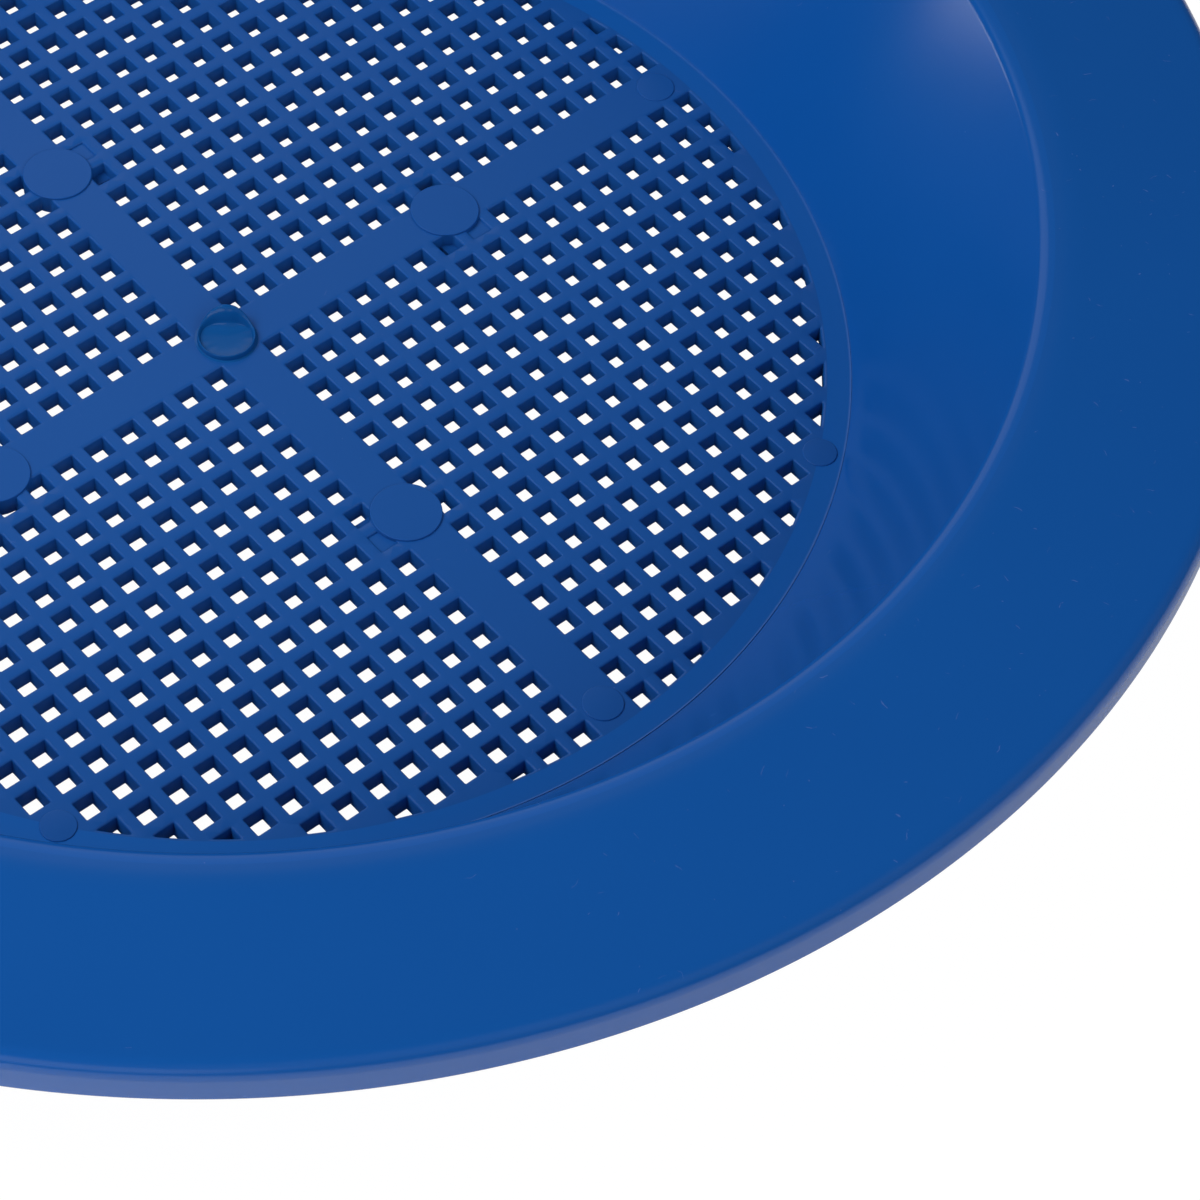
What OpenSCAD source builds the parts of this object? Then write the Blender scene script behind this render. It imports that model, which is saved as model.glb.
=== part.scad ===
// Round sand sieve: a perforated floor in a leaning bowl wall, with a wide flat brim and a turned-down lip.
// Millimetres, +Z up. The origin is at the centre of the flat underside that the sieve stands on.

/* [Mesh] */
// Distance from one hole to the next
pitch = 4; // [3:0.1:6]
// Width of a square hole at the top of the mesh
hole_top_w = 2.45; // [1.6:0.05:2.8]
// How much narrower a hole is at the underside
hole_draft = 0.2; // [0.1:0.05:0.6]
// Thickness of the mesh, the spokes and the floor ring
mesh_t = 2.1; // [1.6:0.1:4]
// Radius of the circle that cuts the holes off
mesh_r = 65.2; // [55:0.2:75]
// Width of the thin bar that edges the mesh beside the spokes and the floor ring
edge_bar_w = 0.375; // [0.2:0.025:0.5]
// Cut holes that would reach in from that circle by less than this stay closed
least_cut = 1; // [0.5:0.1:1.5]

/* [Bowl] */
// Width of the plain floor between the holes and the wall
floor_ring_w = 3; // [2.6:0.1:6]
// How far the wall leans out from the floor ring up to the mouth
wall_flare = 17; // [8:0.2:24]
// Overall height
sieve_h = 29.7; // [24:0.1:45]
// Thickness of the wall, measured square to it
wall_t = 2.2; // [1.6:0.1:3]
// Radius of the rounding along the mouth
mouth_round = 1.8; // [0.5:0.1:2.5]
// Radius of the rounding along the foot of the wall
foot_round = 1; // [0.3:0.1:2]

/* [Brim] */
// Width of the brim and its lip, from the mouth to the outer edge
brim_w = 22.8; // [14:0.2:32]
// Thickness of the brim
brim_t = 2.4; // [1.8:0.1:3.5]
// Thickness of the lip
lip_t = 2.4; // [1.8:0.1:3.5]
// How far the lip hangs below the brim
lip_drop = 2.6; // [1:0.1:8]
// Radius of the rounding over the outer edge
lip_round = 2.3; // [1:0.1:2.4]
// Radius of the rounding along the bottom edges of the lip
lip_edge_round = 0.6; // [0.2:0.1:0.8]

/* [Ejector pads] */
// Diameter of the pads half way along the spokes
spoke_pad_d = 7.7; // [6:0.1:9]
// Distance of these pads from the centre
spoke_pad_r = 30.8; // [20:0.2:42]
// How far these pads stand above the mesh
spoke_pad_rise = 0.25; // [0.1:0.05:0.6]
// Diameter of the pads at the spoke ends
end_pad_d = 4.4; // [3:0.1:5]
// Distance of the end pads from the circle that cuts the holes off
end_pad_inset = 2.8; // [2.2:0.1:8]
// Diameter of the pads on the edge of the mesh
border_pad_d = 3.8; // [2.5:0.1:4.5]
// How far out from that circle the border pads are centred
border_pad_out = 0.4; // [0:0.1:1]
// Angle of a border pad past its spoke
border_pad_angle = 37.7; // [30:0.5:60]
// How far the end and border pads stand above the mesh
small_pad_rise = 0.15; // [0.1:0.05:0.4]

/* [Gate stub] */
// Diameter of the stub at its foot
stub_d = 6.4; // [4:0.1:7]
// How much narrower the stub is at its full height
stub_taper = 0.8; // [0.2:0.1:1.5]
// Height of the cut face on its low side
stub_low_h = 0.9; // [0.5:0.1:2]
// Height of the cut face on its high side
stub_high_h = 2.6; // [2:0.1:4]
// Width of the dish in the cut face
stub_dish_d = 4.4; // [2.4:0.1:5]
// Depth of the dish below the cut face
stub_dish_depth = 0.6; // [0.2:0.05:0.8]
// Direction of the stub's high side
stub_high_angle = 143; // [0:1:359]

/* [Hidden] */
$fn = 96;
// Number of quarters, and so of spokes
quarters = 4;
quarter_turn = 360 / quarters;
// How far cuts run past the faces that they open
overrun = 0.5;
// Rounding circles are a hair too large, so that they cross the edges they blend into and don't just touch
crossing_share = 1.002;
// Height of the web that closes the two holes on one side of each spoke pad
web_t = 0.6;
// Length of that web along the spoke, centred on the pad
web_l = 5.8;

// Holes along a spoke
rows = floor(mesh_r / pitch);
// Width of a hole at a height
function hole_w(z) = hole_top_w - hole_draft * (mesh_t - z) / mesh_t;
// The spokes take the place of the middle rows of holes
spoke_w = 2 * (pitch - hole_top_w / 2 - edge_bar_w);
panel_r = mesh_r + edge_bar_w;

// Wall: foot and mouth radius inside, lean from upright, and its outer face
ring_r = mesh_r + floor_ring_w;
mouth_r = ring_r + wall_flare;
wall_lean = atan((mouth_r - ring_r) / (sieve_h - mesh_t));
wall_run = wall_t / cos(wall_lean);
brim_z = sieve_h - brim_t;
wall_out_top_r = mouth_r - brim_t * tan(wall_lean) + wall_run;
wall_out_foot_r = max(wall_out_top_r - brim_z * tan(wall_lean), ring_r + foot_round);
mouth_tangent = mouth_round / tan(45 + wall_lean / 2);
// The brim starts where both the mouth's rounding and the wall's outer face are past
brim_in_r = max(mouth_r + mouth_tangent, wall_out_top_r);
out_r = mouth_r + brim_w;
lip_in_r = out_r - lip_t;
lip_h = brim_t + lip_drop;
lip_z = sieve_h - lip_h;
// The rounding goes no deeper than the lip
lip_fillet = min(lip_round, lip_t, lip_h - lip_edge_round);

// Pads and gate stub
end_pad_r = mesh_r - end_pad_inset;
border_pad_r = mesh_r + border_pad_out;
stub_dish_r = (stub_dish_d ^ 2 / 4 + stub_dish_depth ^ 2) / stub_dish_depth / 2;

blue = "#10509a";
mesh_blue = "#1a4f97";

// What rounding takes off an outline's corner, whose two edges leave it along the unit vectors u and v
module corner_trim(corner, u, v, radius) {
    half_angle = acos(u * v) / 2;
    reach = radius / tan(half_angle);
    inward = (u + v) / norm(u + v);
    middle = corner + inward * radius / sin(half_angle);
    difference() {
        polygon([corner - inward * overrun, corner + u * reach, middle, corner + v * reach]);
        translate(middle) circle(radius * crossing_share);
    }
}

// Flat flange round the mouth
module brim() {
    color(blue)
    rotate_extrude()
    translate([brim_in_r, brim_z]) square([lip_in_r - brim_in_r, brim_t]);
}

// Outer edge: rounded over from the brim's top and turned down below its underside
module rim_lip() {
    color(blue)
    rotate_extrude()
    difference() {
        translate([lip_in_r, lip_z]) square([lip_t, lip_h]);
        corner_trim([out_r, sieve_h], [-1, 0], [0, -1], lip_fillet);
        corner_trim([out_r, lip_z], [-1, 0], [0, 1], lip_edge_round);
        corner_trim([lip_in_r, lip_z], [1, 0], [0, 1], lip_edge_round);
    }
}

// Leaning wall from the floor ring up to the rounded mouth
module bowl_wall() {
    inside = [mouth_r - ring_r, sieve_h - mesh_t];
    outside = [wall_out_top_r - wall_out_foot_r, brim_z];
    color(blue)
    rotate_extrude()
    difference() {
        polygon([
            [ring_r, 0], [wall_out_foot_r, 0], [wall_out_top_r, brim_z], [brim_in_r, brim_z],
            [brim_in_r, sieve_h], [mouth_r, sieve_h], [ring_r, mesh_t]
        ]);
        corner_trim([mouth_r, sieve_h], [1, 0], -inside / norm(inside), mouth_round);
        corner_trim([wall_out_foot_r, 0], [-1, 0], outside / norm(outside), foot_round);
    }
}

// Plain flat ring between the mesh and the wall
module floor_ring() {
    color(mesh_blue)
    rotate_extrude()
    translate([panel_r, 0]) square([ring_r - panel_r, mesh_t]);
}

// An outline made into a column that runs past both faces of the mesh
module through_mesh() {
    translate([0, 0, -overrun]) linear_extrude(mesh_t + 2 * overrun) children();
}

// A slot along X that widens upwards, as wide as a hole, running past both faces of the mesh
module slot() {
    low_half = hole_w(-overrun) / 2;
    high_half = hole_w(mesh_t + overrun) / 2;
    rotate([90, 0, 90])
    linear_extrude(mesh_r + overrun)
    polygon([
        [-low_half, -overrun], [low_half, -overrun],
        [high_half, mesh_t + overrun], [-high_half, mesh_t + overrun]
    ]);
}

module slots() {
    for (row = [1 : rows]) translate([0, row * pitch, 0]) slot();
}

// Cells at the edge of the mesh whose holes would be mere slits
module closed_cells() {
    through_mesh()
    for (row = [1 : rows], column = [1 : rows]) {
        middle = pitch * [column, row];
        near_corner = middle - [hole_top_w, hole_top_w] / 2;
        if (norm(near_corner) > mesh_r - least_cut) translate(middle) square(pitch, center = true);
    }
}

// Every hole of one quarter: slots along X crossed by slots along Y leave drafted square holes
module hole_grid() {
    intersection() {
        slots();
        mirror([1, -1, 0]) slots();
        through_mesh() circle(mesh_r);
    }
}

// Columns under the pads and the gate stub of one quarter, where the mesh stays closed
module pad_columns() {
    through_mesh() {
        for (turn = [0, quarter_turn]) rotate(turn) {
            translate([spoke_pad_r, 0]) circle(d = spoke_pad_d);
            translate([end_pad_r, 0]) circle(d = end_pad_d);
        }
        rotate(border_pad_angle) translate([border_pad_r, 0]) circle(d = border_pad_d);
        circle(d = stub_d);
    }
}

// Web at the underside that closes two holes beside the pad of the quarter's second spoke
module web() {
    translate([pitch / 2, spoke_pad_r - web_l / 2, -overrun]) cube([pitch, web_l, web_t + overrun]);
}

// Quarter of the perforated floor between two spokes, with a thin bar all round it
module mesh_panel(turn) {
    color(mesh_blue)
    rotate(turn * quarter_turn)
    difference() {
        linear_extrude(mesh_t) intersection() {
            circle(panel_r);
            translate([spoke_w, spoke_w] / 2) square(panel_r);
        }
        difference() {
            hole_grid();
            closed_cells();
            pad_columns();
            web();
        }
    }
}

// One arm of the cross, from the hub to the floor ring
module spoke(turn) {
    color(mesh_blue)
    rotate(turn * quarter_turn)
    linear_extrude(mesh_t) intersection() {
        circle(panel_r);
        translate([spoke_w, -spoke_w] / 2) square([panel_r, spoke_w]);
    }
}

// Block where the spokes cross
module hub() {
    color(mesh_blue)
    linear_extrude(mesh_t) square(spoke_w, center = true);
}

// Cut-off gate: a short taper cut on a slant, with a shallow dish in the cut face
module gate_stub() {
    slant = atan((stub_high_h - stub_low_h) / stub_d);
    middle_h = (stub_high_h + stub_low_h) / 2;
    color(blue)
    translate([0, 0, mesh_t])
    rotate(stub_high_angle)
    difference() {
        cylinder(d1 = stub_d, d2 = stub_d - stub_taper, h = stub_high_h);
        translate([0, 0, middle_h]) rotate([0, -slant, 0]) {
            translate([-stub_d, -stub_d, 0]) cube([2 * stub_d, 2 * stub_d, stub_high_h + overrun]);
            translate([0, 0, stub_dish_r - stub_dish_depth]) sphere(stub_dish_r);
        }
    }
}

// Round ejector pad, a low disc standing on the mesh
module pad(turn, angle, distance, diameter, rise) {
    color(mesh_blue)
    rotate(turn * quarter_turn + angle)
    translate([distance, 0, mesh_t]) cylinder(d = diameter, h = rise);
}

module spoke_pad(turn) { pad(turn, 0, spoke_pad_r, spoke_pad_d, spoke_pad_rise); }
module spoke_end_pad(turn) { pad(turn, 0, end_pad_r, end_pad_d, small_pad_rise); }
module border_pad(turn) { pad(turn, border_pad_angle, border_pad_r, border_pad_d, small_pad_rise); }

brim();
rim_lip();
bowl_wall();
floor_ring();
for (turn = [0 : quarters - 1]) {
    mesh_panel(turn);
    spoke(turn);
    spoke_pad(turn);
    spoke_end_pad(turn);
    border_pad(turn);
}
hub();
gate_stub();
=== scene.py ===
# Looks of a round sand sieve, moulded in one shot of blue plastic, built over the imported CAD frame.
import math

import bmesh
import bpy
import numpy as np
from mathutils import Matrix, Vector
from mathutils.geometry import delaunay_2d_cdt


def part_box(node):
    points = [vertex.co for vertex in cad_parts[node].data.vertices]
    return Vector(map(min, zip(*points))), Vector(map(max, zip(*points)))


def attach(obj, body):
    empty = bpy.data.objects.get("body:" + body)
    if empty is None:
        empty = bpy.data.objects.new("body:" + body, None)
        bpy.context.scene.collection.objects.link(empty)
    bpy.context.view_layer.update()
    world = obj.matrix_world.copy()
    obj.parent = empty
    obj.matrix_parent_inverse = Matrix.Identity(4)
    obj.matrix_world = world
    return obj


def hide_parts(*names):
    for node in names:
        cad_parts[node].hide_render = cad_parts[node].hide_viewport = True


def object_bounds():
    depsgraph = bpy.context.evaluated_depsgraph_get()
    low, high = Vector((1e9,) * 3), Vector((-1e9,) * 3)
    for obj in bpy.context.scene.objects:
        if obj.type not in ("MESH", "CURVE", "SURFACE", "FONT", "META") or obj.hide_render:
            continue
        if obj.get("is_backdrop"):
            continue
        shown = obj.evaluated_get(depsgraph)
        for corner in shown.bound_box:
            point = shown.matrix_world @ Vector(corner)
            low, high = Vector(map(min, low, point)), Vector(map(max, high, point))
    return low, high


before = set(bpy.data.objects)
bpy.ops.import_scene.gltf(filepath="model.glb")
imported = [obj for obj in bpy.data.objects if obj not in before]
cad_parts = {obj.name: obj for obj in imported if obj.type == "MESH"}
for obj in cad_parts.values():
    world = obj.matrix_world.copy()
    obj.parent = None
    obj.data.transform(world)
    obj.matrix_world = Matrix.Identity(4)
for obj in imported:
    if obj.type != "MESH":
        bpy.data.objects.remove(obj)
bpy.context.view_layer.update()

# Floor ring: the plain flat band between the mesh and the wall, part of the one polypropylene moulding.
# A hair of flash stands along its outer edge, where the steel core of the wall met the floor of the mould.
mm = 0.001
round_steps = 512
sharp_angle = math.radians(50)
merge_distance = 0.002 * mm
flash_w = 0.22
flash_h = 0.1


def box_mm(node):
    """Lowest and highest corner of a CAD node, in millimetres."""
    return np.array(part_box(node)) / mm


def turned(outline, steps):
    """Rings of a surface of revolution: each outline point (radius, height) is carried round Z as
    (radius cos a, radius sin a, height) for equal angles a."""
    angle = np.arange(steps) * 2 * math.pi / steps
    radius, height = np.array(outline, float).T
    level = np.broadcast_to(height[:, None], (len(height), steps))
    return np.stack([np.outer(radius, np.cos(angle)), np.outer(radius, np.sin(angle)), level], -1)


def ring_faces(ring_count, steps, closed):
    """Four-sided faces that join each ring of a stack to the next, and the last to the first if closed."""
    lower = np.arange(ring_count if closed else ring_count - 1)[:, None] * steps
    upper = (lower + steps) % (ring_count * steps)
    here = np.arange(steps)
    there = (here + 1) % steps
    return np.stack([lower + here, lower + there, upper + there, upper + here], -1).reshape(-1, 4)


def dress(node, points, faces, material, flat_from=None):
    """Puts points in millimetres and faces into a mesh, merges the points that meet at poles, shades it
    smooth but for its sharp edges and the flat faces at the end of the list, and lets it ride in place of
    its CAD node."""
    mesh = bpy.data.meshes.new("moulded_" + node)
    mesh.from_pydata((np.array(points) * mm).reshape(-1, 3).tolist(), [], faces)
    smooth = np.arange(len(faces)) < (len(faces) if flat_from is None else flat_from)
    mesh.polygons.foreach_set("use_smooth", smooth)
    form = bmesh.new()
    form.from_mesh(mesh)
    bmesh.ops.remove_doubles(form, verts=form.verts, dist=merge_distance)
    form.to_mesh(mesh)
    form.free()
    mesh.set_sharp_from_angle(angle=sharp_angle)
    mesh.materials.append(material)
    piece = bpy.data.objects.new("moulded_" + node, mesh)
    bpy.context.scene.collection.objects.link(piece)
    piece.modifiers.new("even_normals", "WEIGHTED_NORMAL").keep_sharp = True
    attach(piece, "root")
    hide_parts(node)


def turned_piece(node, outline, material):
    """A closed outline carried round Z, in place of the CAD node."""
    rings = turned(outline, round_steps)
    dress(node, rings, ring_faces(len(rings), round_steps, True).tolist(), material)


def linear(code):
    """sRGB hex colour as linear red, green, blue and alpha."""
    srgb = np.array([int(code[place:place + 2], 16) for place in (1, 3, 5)]) / 255
    light = np.where(srgb <= 0.04045, srgb / 12.92, ((srgb + 0.055) / 1.055) ** 2.4)
    return (*light, 1)


def add_node(tree, kind, settings=()):
    """Adds a node and gives its outputs. Each setting is a property of the node, a value for one of its
    inputs, or a socket to link to that input. Inputs go by number where several have the same name."""
    node = tree.nodes.new(kind)
    for key, value in dict(settings).items():
        if isinstance(value, bpy.types.NodeSocket):
            tree.links.new(value, node.inputs[key])
        elif isinstance(key, str) and hasattr(node, key):
            setattr(node, key, value)
        else:
            node.inputs[key].default_value = value
    return node.outputs


# Real hairlines, specks and mould grain are finer than a pixel of the render, so they are drawn coarser.
plastic_ior = 1.49
cloud_mm = 35
cloud_detail = 3
fine_detail = 2
gloss_spread_share = 0.15
patch_mm = 18
hair_cell_mm = 1.7
hair_l = 1.3
hair_w = 0.14
hair_lie = math.radians(53)
hair_spread = math.radians(75)
hair_bend = 1.2
hair_bend_mm = 1.6
speck_cell_mm = 1.1
speck_d = 0.22
faintest_share = 0.08
clearest_share = 0.42
scar = "#6A7CBA"
scar_roughness = 0.5
wear_towards = (math.cos(hair_lie), math.sin(hair_lie), 0)
wear_from = 10
wear_to = 80
line_w = 0.3
line_break_mm = 0.8


def moulded_plastic(
    name, deep, clear, roughness, grain_mm, grain_depth, hair_share, speck_share, scuffed_share,
    line_r=0, line_share=0,
):
    """Moulded polypropylene: a deep even blue under a soft sheen. Broad faint clouds vary its colour and
    gloss, and a fine grain from the mould breaks up the reflections. Short pale hairlines and specks of wear
    gather towards the scuffed side, and a pale witness line can run round at a radius, where two steels of
    the mould met."""
    material = bpy.data.materials.new(name)
    material.use_nodes = True
    tree = material.node_tree
    shader = tree.nodes["Principled BSDF"]
    shader.inputs["IOR"].default_value = plastic_ior

    # Map Range takes its value at input 0, from the range in 1 and 2 to the range in 3 and 4.
    # Mix takes its share at 0, two numbers at 2 and 3, or two colours at 6 and 7, and gives a colour at 2.
    place = add_node(tree, "ShaderNodeTexCoord")["Object"]
    in_mm = add_node(tree, "ShaderNodeVectorMath", {"operation": "SCALE", 0: place, "Scale": 1 / mm})[0]
    flat = add_node(tree, "ShaderNodeVectorMath", {"operation": "MULTIPLY", 0: in_mm, 1: (1, 1, 0)})[0]
    cloud = add_node(
        tree, "ShaderNodeTexNoise", {"Vector": in_mm, "Scale": 1 / cloud_mm, "Detail": cloud_detail},
    )[0]
    plain = add_node(
        tree, "ShaderNodeMix", {"data_type": "RGBA", 0: cloud, 6: linear(deep), 7: linear(clear)},
    )[2]

    side = add_node(
        tree, "ShaderNodeVectorMath", {"operation": "DOT_PRODUCT", 0: flat, 1: wear_towards},
    )["Value"]
    worn = add_node(
        tree, "ShaderNodeMapRange", {0: side, 1: wear_from, 2: wear_to, 3: scuffed_share, 4: 1},
    )[0]
    patch = add_node(
        tree, "ShaderNodeTexNoise", {"Vector": in_mm, "Scale": 1 / patch_mm, "Detail": fine_detail},
    )[0]
    wear = add_node(tree, "ShaderNodeMath", {"operation": "MULTIPLY", 0: worn, 1: patch})[0]

    sway = add_node(tree, "ShaderNodeTexNoise", {"Vector": flat, "Scale": 1 / hair_bend_mm})["Color"]
    bent = add_node(
        tree, "ShaderNodeVectorMath",
        {"operation": "MULTIPLY_ADD", 0: sway, 1: (hair_bend, hair_bend, 0), 2: flat},
    )[0]
    cell = add_node(
        tree, "ShaderNodeTexVoronoi",
        {"voronoi_dimensions": "2D", "Vector": bent, "Scale": 1 / hair_cell_mm},
    )
    draw = add_node(tree, "ShaderNodeSeparateColor", {0: cell["Color"]})
    from_cell = add_node(
        tree, "ShaderNodeVectorMath", {"operation": "SUBTRACT", 0: bent, 1: cell["Position"]},
    )[0]
    turn = add_node(
        tree, "ShaderNodeMapRange", {0: draw[0], 3: -hair_lie - hair_spread, 4: hair_spread - hair_lie},
    )[0]
    laid = add_node(
        tree, "ShaderNodeVectorRotate", {"rotation_type": "Z_AXIS", "Vector": from_cell, "Angle": turn},
    )[0]
    along, across, _ = add_node(tree, "ShaderNodeSeparateXYZ", {0: laid})
    off_middle = add_node(tree, "ShaderNodeMath", {"operation": "ABSOLUTE", 0: along})[0]
    off_axis = add_node(tree, "ShaderNodeMath", {"operation": "ABSOLUTE", 0: across})[0]
    length = add_node(tree, "ShaderNodeMath", {"operation": "DIVIDE", 0: off_middle, 1: draw[1]})[0]
    body = add_node(tree, "ShaderNodeMapRange", {0: length, 1: hair_l / 2, 2: hair_l / 4})[0]
    thin = add_node(tree, "ShaderNodeMapRange", {0: off_axis, 1: hair_w / 2, 2: 0})[0]
    stroke = add_node(tree, "ShaderNodeMath", {"operation": "MULTIPLY", 0: body, 1: thin})[0]
    hair_chance = add_node(tree, "ShaderNodeMath", {"operation": "MULTIPLY", 0: wear, 1: hair_share})[0]
    hair_drawn = add_node(tree, "ShaderNodeMath", {"operation": "LESS_THAN", 0: draw[2], 1: hair_chance})[0]
    hair = add_node(tree, "ShaderNodeMath", {"operation": "MULTIPLY", 0: stroke, 1: hair_drawn})[0]

    grit = add_node(tree, "ShaderNodeTexVoronoi", {"Vector": in_mm, "Scale": 1 / speck_cell_mm})
    grit_draw = add_node(tree, "ShaderNodeSeparateColor", {0: grit["Color"]})
    dot = add_node(
        tree, "ShaderNodeMapRange", {0: grit["Distance"], 1: speck_d / 2 / speck_cell_mm, 2: 0},
    )[0]
    speck_chance = add_node(tree, "ShaderNodeMath", {"operation": "MULTIPLY", 0: wear, 1: speck_share})[0]
    speck_drawn = add_node(
        tree, "ShaderNodeMath", {"operation": "LESS_THAN", 0: grit_draw[0], 1: speck_chance},
    )[0]
    speck = add_node(tree, "ShaderNodeMath", {"operation": "MULTIPLY", 0: dot, 1: speck_drawn})[0]
    faint = add_node(tree, "ShaderNodeMapRange", {0: grit_draw[1], 3: faintest_share, 4: clearest_share})[0]
    scratch = add_node(tree, "ShaderNodeMath", {"operation": "MAXIMUM", 0: hair, 1: speck})[0]
    scratched = add_node(tree, "ShaderNodeMath", {"operation": "MULTIPLY", 0: scratch, 1: faint})[0]

    radius = add_node(tree, "ShaderNodeVectorMath", {"operation": "LENGTH", 0: flat})["Value"]
    past_line = add_node(tree, "ShaderNodeMath", {"operation": "SUBTRACT", 0: radius, 1: line_r})[0]
    off_line = add_node(tree, "ShaderNodeMath", {"operation": "ABSOLUTE", 0: past_line})[0]
    witness = add_node(tree, "ShaderNodeMapRange", {0: off_line, 1: line_w / 2, 2: 0, 4: line_share})[0]
    broken = add_node(tree, "ShaderNodeTexNoise", {"Vector": in_mm, "Scale": 1 / line_break_mm})[0]
    lined = add_node(tree, "ShaderNodeMath", {"operation": "MULTIPLY", 0: witness, 1: broken})[0]
    mark = add_node(tree, "ShaderNodeMath", {"operation": "MAXIMUM", 0: scratched, 1: lined})[0]

    colour = add_node(tree, "ShaderNodeMix", {"data_type": "RGBA", 0: mark, 6: plain, 7: linear(scar)})[2]
    tree.links.new(colour, shader.inputs["Base Color"])
    low = roughness * (1 - gloss_spread_share)
    high = roughness * (1 + gloss_spread_share)
    gloss = add_node(tree, "ShaderNodeMapRange", {0: cloud, 3: low, 4: high})[0]
    sheen = add_node(tree, "ShaderNodeMix", {0: mark, 2: gloss, 3: scar_roughness})[0]
    tree.links.new(sheen, shader.inputs["Roughness"])
    grain = add_node(
        tree, "ShaderNodeTexNoise", {"Vector": in_mm, "Scale": 1 / grain_mm, "Detail": fine_detail},
    )[0]
    bump = add_node(tree, "ShaderNodeBump", {"Strength": 1, "Distance": grain_depth * mm, "Height": grain})[0]
    tree.links.new(bump, shader.inputs["Normal"])
    return material


# The band shows a broad faint sheen, and its lighter tone stands in for light that comes off the wall.
mould_grain_mm = 0.5
ring_grain_depth = 0.004
mesh_t = box_mm("hub")[1][2]
panel_r = box_mm("spoke_1")[1][0]
ring_r = box_mm("floor_ring")[1][0]
ring_plastic = moulded_plastic(
    "polypropylene_moulded_semi_matt", "#0F55A4", "#135AAA", roughness=0.3, grain_mm=mould_grain_mm,
    grain_depth=ring_grain_depth, hair_share=0.06, speck_share=0.12, scuffed_share=0.6,
    line_r=ring_r - flash_w / 2, line_share=0.25,
)
turned_piece("floor_ring", [
    [panel_r, 0], [ring_r, 0], [ring_r, mesh_t + flash_h], [ring_r - flash_w, mesh_t], [panel_r, mesh_t],
], ring_plastic)

# Mesh panels: the four quarters of the perforated floor. Tapered pins in the mould leave square holes that
# widen upwards, with softly rounded top edges. A circle cuts the outer ones off, and pads stop a few.
# Beside one pad a thin web shuts one hole almost flush and half shuts the next.
pitch = 4.0
hole_top_w = 2.45
hole_draft = 0.2
mesh_r = 65.2
least_cut = 1.0
hole_edge_round = 0.24
hole_edge_rings = 3
hole_corner_round = 0.06
hole_corner_points = 3
web_t = 0.6
web_l = 5.8
web_gap = 0.01
shut_depth = 0.3
cut_steps = 40
sample_steps = 25
search_steps = 30
fill_inside = 1
flat_precision = 0.00001
quarters = 4
mesh_grain_depth = 0.005


def disc_of(node):
    """Centre and radius of a round CAD node, seen from above."""
    low, high = box_mm(node)
    return (low + high)[:2] / 2, (high - low)[:2].max() / 2


hole_half = hole_top_w / 2
spoke_half = box_mm("hub")[1][0]
round_over = np.linspace(0, math.pi / 2, hole_edge_rings)
drop = hole_edge_round * (1 - np.cos(round_over))
grow = hole_edge_round * (1 - np.sin(round_over))
last_row = int(mesh_r // pitch)
grid = np.arange(1, last_row + 1)
centres = pitch * np.stack(np.meshgrid(grid, grid, indexing="ij"), -1).reshape(-1, 2)
spoke_pads = [disc_of("spoke_pad_1"), disc_of("spoke_pad_2")]
border_pad = disc_of("border_pad_1")
web_middle = spoke_pads[1][0][1]
web_low = web_middle - web_l / 2
web_high = web_middle + web_l / 2

reaches_in = np.linalg.norm(centres - hole_half, axis=1) < mesh_r - least_cut
farthest = np.linalg.norm(np.abs(centres - border_pad[0]) + hole_half, axis=1)
centres = centres[reaches_in & (farthest > border_pad[1])]
cut = np.linalg.norm(centres + hole_half, axis=1) > mesh_r
for pad_centre, pad_radius in spoke_pads:
    nearest = np.maximum(np.abs(centres - pad_centre) - hole_half, 0)
    cut |= np.linalg.norm(nearest, axis=1) < pad_radius
in_first_column = centres[:, 0] < 2 * pitch - hole_half
beside_web = in_first_column & (np.abs(centres[:, 1] - web_middle) < web_l / 2 + hole_half)
shut = beside_web & (centres[:, 1] - hole_half > web_low) & (centres[:, 1] + hole_half < web_high)
half_shut = beside_web & ~shut


def half_width(below, grown):
    """Half of a hole's width at a depth below the top of the mesh, grown by the rounding of its top edge."""
    return hole_half - hole_draft / 2 * below / mesh_t + grown


def inside_hole(points, middles, below, grown, limit):
    """True inside a hole: within its square with rounded corners, within the circle that cuts the mesh off,
    outside the spoke pads, and short of the web."""
    corner = hole_corner_round + grown
    beyond = np.abs(points - middles) - half_width(below, grown) + corner
    within = np.hypot(*np.moveaxis(np.maximum(beyond, 0), -1, 0)) + np.minimum(beyond.max(-1), 0) < corner
    within &= np.linalg.norm(points, axis=-1) < mesh_r + grown
    for pad_centre, pad_radius in spoke_pads:
        within &= np.linalg.norm(points - pad_centre, axis=-1) > pad_radius
    return within & (points[..., 1] < limit)


def corner_points(below, grown):
    """Points round a whole hole's square: a few on the arc of each corner, a quarter turn apart."""
    corner = hole_corner_round + grown
    quarter = np.arange(quarters)[:, None] * math.pi / 2
    angle = quarter + np.linspace(0, math.pi / 2, hole_corner_points)
    sign = np.sign(np.stack([np.cos(quarter + math.pi / 4), np.sin(quarter + math.pi / 4)], -1))
    arc = corner * np.stack([np.cos(angle), np.sin(angle)], -1)
    return (sign * (half_width(below, grown) - corner) + arc).reshape(-1, 2)


def whole_rings(middles):
    """Rings down the walls of whole holes, from the top edge to the underside."""
    levels = [*zip(drop, grow), (mesh_t, 0)]
    rings = np.stack([corner_points(below, grown) for below, grown in levels])
    plan = middles[:, None, None] + rings
    height = mesh_t - np.array([below for below, _ in levels])[:, None]
    return np.concatenate([plan, np.broadcast_to(height, plan.shape[:3])[..., None]], -1)


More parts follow.
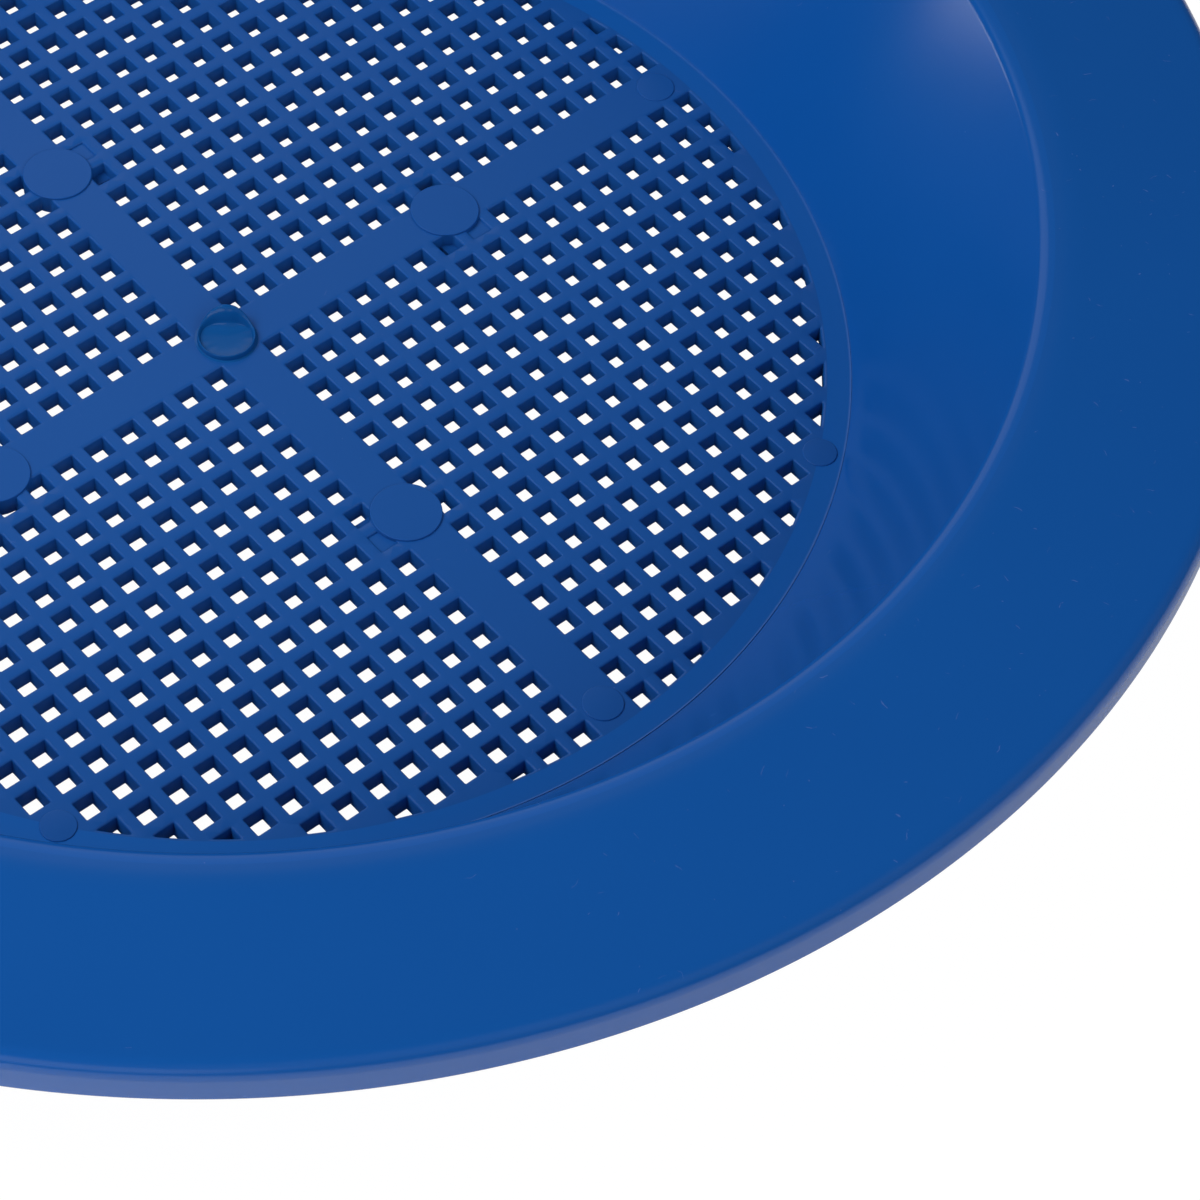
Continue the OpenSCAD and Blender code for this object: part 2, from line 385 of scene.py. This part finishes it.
def cut_rings(middles, levels):
    """Rings down the walls of cut holes. From the middle of a hole's open part, rays run out all round and
    to the square's corners and its crossings with the cutting circle. Halving finds where each ray leaves
    the hole."""
    spread = np.linspace(-hole_half, hole_half, sample_steps)
    samples = middles[:, None] + np.stack(np.meshgrid(spread, spread), -1).reshape(-1, 2)
    open_part = inside_hole(samples, middles[:, None], *levels[-1])[..., None]
    hearts = (samples * open_part).sum(1) / open_part.sum(1)
    side = np.stack([middles - hole_half, middles + hole_half], 1)
    across = np.sqrt(np.maximum(mesh_r ** 2 - side ** 2, 0))
    upright = np.stack([side[..., 0], across[..., 0]], -1)
    level = np.stack([across[..., 1], side[..., 1]], -1)
    targets = np.concatenate([middles[:, None] + corner_points(0, 0), upright, level], 1) - hearts[:, None]
    even = np.arange(cut_steps) * 2 * math.pi / cut_steps - math.pi
    even = np.broadcast_to(even, (len(middles), cut_steps))
    angle = np.sort(np.concatenate([even, np.arctan2(targets[..., 1], targets[..., 0])], 1), 1)
    ray = np.stack([np.cos(angle), np.sin(angle)], -1)
    rings = []
    for below, grown, limit in levels:
        near = np.zeros(angle.shape)
        far = np.full(angle.shape, 2 * hole_top_w)
        for _ in range(search_steps):
            middle = (near + far) / 2
            tips = hearts[:, None] + ray * middle[..., None]
            within = inside_hole(tips, middles[:, None], below, grown, limit)
            near = np.where(within, middle, near)
            far = np.where(within, far, middle)
        plan = hearts[:, None] + ray * near[..., None]
        rings.append(np.concatenate([plan, np.full((*angle.shape, 1), mesh_t - below)], -1))
    return np.stack(rings, 1)


def flat_faces(loops):
    """Triangles that fill an outline and leave out the holes in it. The first loop is the outline, and
    corners are numbered through all the loops. A triangle on one hole's loop alone that turns the way the
    loop does is in it."""
    lengths = [len(loop) for loop in loops]
    starts = np.cumsum([0] + lengths[:-1])
    links = np.concatenate([
        start + np.stack([np.arange(length), (np.arange(length) + 1) % length], 1)
        for start, length in zip(starts, lengths)
    ])
    points = np.concatenate(loops)
    found = delaunay_2d_cdt(points.tolist(), links.tolist(), [], fill_inside, flat_precision)
    triangles = np.array(found[2])
    source = np.array([numbers[0] for numbers in found[3]])
    corners = np.sort(source[triangles], 1)
    ahead = points[corners[:, 1]] - points[corners[:, 0]]
    aside = points[corners[:, 2]] - points[corners[:, 0]]
    left_turn = ahead[:, 0] * aside[:, 1] > ahead[:, 1] * aside[:, 0]
    owner = np.repeat(np.arange(len(loops)), lengths)[corners]
    one_loop = (owner[:, 0] == owner[:, 1]) & (owner[:, 1] == owner[:, 2])
    in_hole = (owner[:, 0] > 0) & one_loop & left_turn
    return np.where(left_turn[:, None], corners, corners[:, ::-1])[~in_hole]


end_angle = math.asin(spoke_half / panel_r)
arc_angle = np.arange(round_steps) * 2 * math.pi / round_steps
arc_angle = arc_angle[(arc_angle > end_angle) & (arc_angle < math.pi / 2 - end_angle)]
arc_angle = np.concatenate([[end_angle], arc_angle, [math.pi / 2 - end_angle]])
edge_run = np.linspace(panel_r * math.cos(end_angle), spoke_half, last_row + 1)[1:-1]
outline = np.concatenate([
    [[spoke_half, spoke_half]],
    np.stack([edge_run[::-1], np.full(len(edge_run), spoke_half)], 1),
    panel_r * np.stack([np.cos(arc_angle), np.sin(arc_angle)], 1),
    np.stack([np.full(len(edge_run), spoke_half), edge_run], 1),
])
free = np.inf
web_depth = mesh_t - web_t
over = [(below, grown, free) for below, grown in zip(drop, grow)]
through = [*over, (mesh_t, 0, free)]
ledge = [*over, (web_depth, 0, free), (web_depth, -web_gap, web_low), (mesh_t, -web_gap, web_low)]
blind = [*over, (shut_depth, 0, free)]
stacks = [
    whole_rings(centres[~cut]),
    cut_rings(centres[cut & ~beside_web], through),
    cut_rings(centres[half_shut], ledge),
    cut_rings(centres[shut], blind),
]
sides = np.stack([
    np.concatenate([outline, np.full((len(outline), 1), height)], 1) for height in (0, mesh_t)
])
panel_points = [sides.reshape(-1, 3)]
panel_faces = [ring_faces(2, len(outline), False).tolist()]
corner_number = np.arange(2 * len(outline)).reshape(2, -1)
top_loops = [outline]
top_numbers = [corner_number[1]]
low_loops = [outline]
low_numbers = [corner_number[0]]
floors = []
for stack in stacks:
    level_count, steps = stack.shape[1:3]
    numbers = sum(map(len, panel_points)) + np.arange(stack[..., 0].size).reshape(stack.shape[:3])
    walls = ring_faces(level_count, steps, False)
    panel_faces.append((walls + numbers[:, 0, 0][:, None, None]).reshape(-1, 4).tolist())
    panel_points.append(stack.reshape(-1, 3))
    top_loops.extend(stack[:, 0, :, :2])
    top_numbers.extend(numbers[:, 0])
    if stack[0, -1, 0, 2] > 0:
        floors.extend(numbers[:, -1].tolist())
    else:
        low_loops.extend(stack[:, -1, :, :2])
        low_numbers.extend(numbers[:, -1])
panel_points = np.concatenate(panel_points)
panel_faces = sum(panel_faces, [])
flat_start = len(panel_faces)
panel_faces += np.concatenate(top_numbers)[flat_faces(top_loops)].tolist()
panel_faces += np.concatenate(low_numbers)[flat_faces(low_loops)[:, ::-1]].tolist()
panel_faces += floors

# The mould's grain spreads the light, so the bars of the mesh show a broad dull sheen and no glints.
mesh_plastic = moulded_plastic(
    "polypropylene_moulded_matt", "#144E97", "#18529C", roughness=0.34, grain_mm=mould_grain_mm,
    grain_depth=mesh_grain_depth, hair_share=0.06, speck_share=0.12, scuffed_share=0.6,
)
for number in range(quarters):
    node = f"mesh_panel_{number + 1}"
    turning = np.array(Matrix.Rotation(2 * math.pi * number / quarters, 3, "Z"))
    dress(node, panel_points @ turning.T, panel_faces, mesh_plastic, flat_start)

# Spokes and hub: the plain bars of the cross between the quarters, flush with the mesh above and below.
# They are the same moulding, left solid so that the plastic can run out from the gate in the middle.
for node in ["hub", *(f"spoke_{number + 1}" for number in range(quarters))]:
    cad_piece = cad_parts[node]
    cad_piece.data.materials.clear()
    cad_piece.data.materials.append(mesh_plastic)

# Ejector pads: low round discs where the mould's ejector pins push the moulding out. The pins stand a hair
# below the steel round them, so the discs stand proud, with edges that are only just rounded.
pad_steps = 64
pad_edge_round = 0.12
arc_steps = 6


def rounded(corners, radii):
    """Closed outline with rounded corners. A corner gives way to the arc that touches both its edges: from
    the arc's middle, the directions to its two ends are blended in equal turns. Radius zero keeps the
    corner."""
    corners = np.array(corners, float)
    radii = np.array(radii, float)
    back = np.roll(corners, 1, 0) - corners
    ahead = np.roll(corners, -1, 0) - corners
    back /= np.linalg.norm(back, axis=1, keepdims=True)
    ahead /= np.linalg.norm(ahead, axis=1, keepdims=True)
    half = np.arccos((back * ahead).sum(1)) / 2
    reach = (radii / np.tan(half))[:, None]
    inward = (back + ahead) / np.linalg.norm(back + ahead, axis=1, keepdims=True)
    middle = corners + inward * (radii / np.sin(half))[:, None]
    turn = (math.pi - 2 * half)[:, None, None]
    share = np.linspace(0, 1, arc_steps + 1)[None, :, None]
    start = (corners + back * reach - middle)[:, None]
    end = (corners + ahead * reach - middle)[:, None]
    arc = (np.sin((1 - share) * turn) * start + np.sin(share * turn) * end) / np.sin(turn)
    kept = (radii[:, None] > 0) | (np.arange(arc_steps + 1) == 0)
    return (middle[:, None] + arc)[kept]


for number in range(quarters):
    for kind in ("spoke_pad", "spoke_end_pad", "border_pad"):
        node = f"{kind}_{number + 1}"
        low, high = box_mm(node)
        pad_middle, radius = disc_of(node)
        edge = rounded(
            [[0, low[2]], [radius, low[2]], [radius, high[2]], [0, high[2]]], [0, 0, pad_edge_round, 0],
        )
        rings = turned(edge, pad_steps) + [*pad_middle, 0]
        dress(node, rings, ring_faces(len(rings), pad_steps, False).tolist(), mesh_plastic)

# Gate stub: what is left of the sprue where the plastic was injected, twisted off and not trimmed.
# Its torn face is a shiny flat dish with a thin rounded rim, which stands up in a ridge on one side.
stub_rim_h = 0.75
stub_rim_t = 0.4
stub_ridge_t = 1.5
stub_floor_h = 0.15
stub_foot_w = 0.25
stub_tear = 0.05
stub_high_angle = math.radians(143)
stub_ridge_half = math.radians(64)
stub_steps = 144
stub_dish_rings = 12
stub_dish_power = 4
stub_grain_depth = 0.004
tear_waves = np.array([5, 8, 13])
tear_starts = np.array([0, 1, 2])
rim_profile_shares = [
    [1, 0.1], [0.98, 0.5], [0.93, 0.8], [0.86, 0.93], [0.77, 0.99], [0.68, 1], [0.58, 0.97], [0.46, 0.9],
    [0.34, 0.8], [0.22, 0.66], [0.12, 0.5], [0.05, 0.38], [0, 0.3],
]

# Torn plastic is smooth, so it gives small clear glints. Its darker tone stands in for shade on it.
stub_plastic = moulded_plastic(
    "polypropylene_torn_glossy", "#0A4B8C", "#0E5296", roughness=0.16, grain_mm=mould_grain_mm,
    grain_depth=stub_grain_depth, hair_share=0.05, speck_share=0.15, scuffed_share=0.4,
)
stub_low, stub_high = box_mm("gate_stub")
stub_r = (stub_high - stub_low)[0] / 2
stub_high_h = (stub_high - stub_low)[2]
stub_angle = np.arange(stub_steps) * 2 * math.pi / stub_steps
from_high = np.abs((stub_angle - stub_high_angle + math.pi) % (2 * math.pi) - math.pi)
ridge = np.maximum(np.cos(from_high / stub_ridge_half * math.pi / 2), 0)
torn = np.sin(tear_waves[:, None] * stub_angle + tear_starts[:, None]).mean(0)
rim_h = stub_rim_h + (stub_high_h - stub_rim_h) * ridge - stub_tear * (1 + torn)
rim_in_r = stub_r - stub_rim_t - (stub_ridge_t - stub_rim_t) * ridge
out_share, up_share = np.array(rim_profile_shares).T[:, :, None]
dish_share = np.linspace(1, 0, stub_dish_rings)[1:, None]
ring_radii = np.concatenate([
    np.zeros((1, stub_steps)), np.full((1, stub_steps), stub_r + stub_foot_w),
    rim_in_r + out_share * (stub_r - rim_in_r), rim_in_r * dish_share,
])
dish_h = stub_floor_h + (up_share[-1] * rim_h - stub_floor_h) * dish_share ** stub_dish_power
ring_heights = stub_low[2] + np.concatenate([np.zeros((2, stub_steps)), up_share * rim_h, dish_h])
stub_rings = np.stack(
    [ring_radii * np.cos(stub_angle), ring_radii * np.sin(stub_angle), ring_heights], -1,
)
stub_faces = ring_faces(len(stub_rings), stub_steps, False).tolist()
dress("gate_stub", stub_rings, stub_faces, stub_plastic)

# Bowl wall: the leaning side of the sieve, from the floor ring up to the rounded edge of the mouth.
# The core that formed it was polished, so it is glossier than the floor, with little grain.
mouth_round = 1.6
mouth_slope_w = 3.0
mouth_slope_h = 0.42
foot_round = 1.0
wall_flare = 17.0
bowl_grain_depth = 0.002
# Its blue is a little lighter than the brim's, a painted light that stands in for light falling on the wall.
bowl_plastic = moulded_plastic(
    "polypropylene_moulded_polished", "#0A509F", "#0E56A7", roughness=0.2, grain_mm=mould_grain_mm,
    grain_depth=bowl_grain_depth, hair_share=0.05, speck_share=0.15, scuffed_share=0.4,
    line_r=ring_r, line_share=0.3,
)
brim_z = box_mm("brim")[0][2]
sieve_h = box_mm("brim")[1][2]
brim_in_r = box_mm("bowl_wall")[1][0]
mouth_r = ring_r + wall_flare
wall_lean = math.atan2(wall_flare, sieve_h - mesh_t)
wall_foot_r = brim_in_r - brim_z * math.tan(wall_lean)
slope_r = mouth_r + mouth_slope_w
mouth_edge_r = mouth_r - mouth_slope_h * math.tan(wall_lean)
slope_z = sieve_h - mouth_slope_h * (slope_r - brim_in_r) / (slope_r - mouth_edge_r)
turned_piece("bowl_wall", rounded(
    [[ring_r, 0], [wall_foot_r, 0], [brim_in_r, brim_z], [brim_in_r, slope_z],
     [mouth_edge_r, sieve_h - mouth_slope_h], [ring_r, mesh_t]],
    [0, foot_round, 0, 0, mouth_round, 0],
), bowl_plastic)

# Brim: the wide flat flange round the mouth, which falls off softly into the mouth's rounded edge.
# Its mould was finely blasted, so it has a satin sheen, and it carries the hairlines of handling.
mouth_slope_round = 20.0
brim_grain_mm = 0.6
brim_grain_depth = 0.003
brim_plastic = moulded_plastic(
    "polypropylene_moulded_satin", "#0C4E9A", "#0E529F", roughness=0.22, grain_mm=brim_grain_mm,
    grain_depth=brim_grain_depth, hair_share=0.3, speck_share=0.2, scuffed_share=0.05,
)
lip_in_r = box_mm("brim")[1][0]
turned_piece("brim", rounded(
    [[brim_in_r, brim_z], [lip_in_r, brim_z], [lip_in_r, sieve_h], [slope_r, sieve_h], [brim_in_r, slope_z]],
    [0, 0, 0, mouth_slope_round, 0],
), brim_plastic)

# Rim lip: the outer edge of the brim, rounded over and turned down below it, which stiffens the brim
# and leaves no sharp edge to hold.
lip_round = 1.8
lip_edge_round = 0.6
lip_low, lip_high = box_mm("rim_lip")
turned_piece("rim_lip", rounded(
    [[lip_in_r, lip_low[2]], [lip_high[0], lip_low[2]], [lip_high[0], sieve_h], [lip_in_r, sieve_h]],
    [lip_edge_round, lip_edge_round, lip_round, 0],
), brim_plastic)

# Studio: a pale floor in a dim room, with soft lamps all round and a low one in front that lights the lip.
# The floor is dark paper with a white glow to the camera, so that it shows the sieve's shadow. In reflections
# it glows dimly, with a painted shadow under the sieve. The room is white to the camera and dim elsewhere.
floor_drop = 0.2
floor_half = 6000
floor_glow = 0.98
floor_sheen_glow = 0.18
pale_paper = "#F0F0F0"
dark_paper = "#404040"
floor_mesh = bpy.data.meshes.new("floor")
floor_corners = floor_half * np.array([[-1, -1], [1, -1], [1, 1], [-1, 1]])
floor_mesh.from_pydata([(x * mm, y * mm, -floor_drop * mm) for x, y in floor_corners], [], [(0, 1, 2, 3)])
floor = bpy.data.objects.new("floor", floor_mesh)
bpy.context.scene.collection.objects.link(floor)
floor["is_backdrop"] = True
floor_paper = bpy.data.materials.new("paper_white_matt")
floor_paper.use_nodes = True
floor_paper.cycles.emission_sampling = "NONE"
tree = floor_paper.node_tree
tree.nodes.clear()
seen = add_node(tree, "ShaderNodeLightPath")
by_camera = seen["Is Camera Ray"]
place = add_node(tree, "ShaderNodeTexCoord")["Object"]
outward = add_node(tree, "ShaderNodeVectorMath", {"operation": "LENGTH", 0: place})["Value"]
mirrored = add_node(
    tree, "ShaderNodeMath",
    {"operation": "MAXIMUM", 0: seen["Is Glossy Ray"], 1: seen["Is Transmission Ray"]},
)[0]
# Painted shadow: in reflections the paper under the sieve is dark and its glow is off.
painted_shadow = add_node(tree, "ShaderNodeMapRange", {0: outward, 1: lip_high[0] * mm, 2: mouth_r * mm})[0]
sheen_level = add_node(tree, "ShaderNodeMapRange", {0: painted_shadow, 3: floor_sheen_glow, 4: 0})[0]
sheen_glow = add_node(tree, "ShaderNodeMath", {"operation": "MULTIPLY", 0: mirrored, 1: sheen_level})[0]
shaded = add_node(
    tree, "ShaderNodeMath", {"operation": "MULTIPLY_ADD", 0: mirrored, 1: painted_shadow, 2: by_camera},
)[0]
glow_level = add_node(
    tree, "ShaderNodeMath", {"operation": "MULTIPLY_ADD", 0: by_camera, 1: floor_glow, 2: sheen_glow},
)[0]
glow = add_node(tree, "ShaderNodeEmission", {"Strength": glow_level})[0]
paper = add_node(
    tree, "ShaderNodeMix", {"data_type": "RGBA", 0: shaded, 6: linear(pale_paper), 7: linear(dark_paper)},
)[2]
matt = add_node(tree, "ShaderNodeBsdfDiffuse", {"Color": paper})[0]
both = add_node(tree, "ShaderNodeAddShader", {0: glow, 1: matt})[0]
from_below = add_node(tree, "ShaderNodeNewGeometry")["Backfacing"]
clear = add_node(tree, "ShaderNodeBsdfTransparent")[0]
face = add_node(tree, "ShaderNodeMixShader", {0: from_below, 1: both, 2: clear})[0]
add_node(tree, "ShaderNodeOutputMaterial", {"Surface": face})
floor_mesh.materials.append(floor_paper)

room_level = 0.05
room_white = "#FFFFFF"
room = bpy.data.worlds.new("dim_room")
room.use_nodes = True
tree = room.node_tree
seen = add_node(tree, "ShaderNodeLightPath")
shown = add_node(
    tree, "ShaderNodeMath",
    {"operation": "MAXIMUM", 0: seen["Is Camera Ray"], 1: seen["Is Transmission Ray"]},
)[0]
level = add_node(tree, "ShaderNodeMapRange", {0: shown, 3: room_level, 4: 1})[0]
air = tree.nodes["Background"]
air.inputs["Color"].default_value = linear(room_white)
tree.links.new(level, air.inputs["Strength"])
bpy.context.scene.world = room


def towards(azimuth, elevation):
    """Unit vector out from the middle at an azimuth and an elevation in degrees."""
    azimuth = math.radians(azimuth)
    elevation = math.radians(elevation)
    flat = math.cos(elevation)
    return Vector((math.cos(azimuth) * flat, math.sin(azimuth) * flat, math.sin(elevation)))


def soft_lamp(name, azimuth, elevation, distance, width, height, level, mirrored):
    """Flat lamp that faces the middle of the mesh. Its power gives `level` times the light that shows a
    colour as it is written on a surface that faces it: radiance times area over distance squared is pi times
    the level."""
    lamp = bpy.data.lights.new(name, "AREA")
    lamp.shape = "RECTANGLE"
    lamp.size = width * mm
    lamp.size_y = height * mm
    lamp.energy = level * (math.pi * distance * mm) ** 2
    holder = bpy.data.objects.new(name, lamp)
    away = towards(azimuth, elevation)
    holder.location = away * distance * mm
    holder.rotation_euler = away.to_track_quat("Z", "Y").to_euler()
    holder.visible_camera = False
    holder.visible_glossy = mirrored
    bpy.context.scene.collection.objects.link(holder)


# Each row: name, azimuth, elevation, distance, width, height, level, and whether it shows in reflections.
for lamp in [
    ("lamp_main", 235, 55, 480, 270, 270, 0.75, False),
    ("lamp_near", -15, 38, 600, 400, 400, 0.24, False),
    ("lamp_right", 40, 30, 900, 700, 700, 0.26, False),
    ("lamp_left", 276, 28, 900, 1700, 450, 0.22, True),
    ("lamp_far", 160, 30, 900, 600, 600, 0.07, True),
    ("lamp_low", 204, 8, 900, 250, 200, 0.055, True),
    ("lamp_front", -80, 2, 300, 300, 16, 0.21, False),
]:
    soft_lamp(*lamp)

# Camera: a long lens that looks down over the near right half of the sieve, turned a little about its axis.
photo_px = 1200
focal_px = 3921.8
sensor_mm = 36
stand_distance = 429.0
stand_azimuth = -36.78
stand_elevation = 48.95
look_azimuth = -45.607
look_elevation = 52.536
look_roll = math.radians(5.75)
lens = bpy.data.cameras.new("camera")
lens.sensor_width = sensor_mm
lens.lens = focal_px / photo_px * sensor_mm
camera = bpy.data.objects.new("camera", lens)
backward = towards(look_azimuth, look_elevation)
level_right = Vector((0, 0, 1)).cross(backward).normalized()
right = Matrix.Rotation(look_roll, 3, backward) @ level_right
up = backward.cross(right)
stand = (Vector((0, 0, mesh_t)) + towards(stand_azimuth, stand_elevation) * stand_distance) * mm
camera.matrix_world = Matrix.Translation(stand) @ Matrix((right, up, backward)).transposed().to_4x4()
bpy.context.scene.collection.objects.link(camera)
bpy.context.scene.camera = camera
bpy.context.scene.view_settings.view_transform = "Standard"

# Size: the finished model's box, in metres.
low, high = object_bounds()
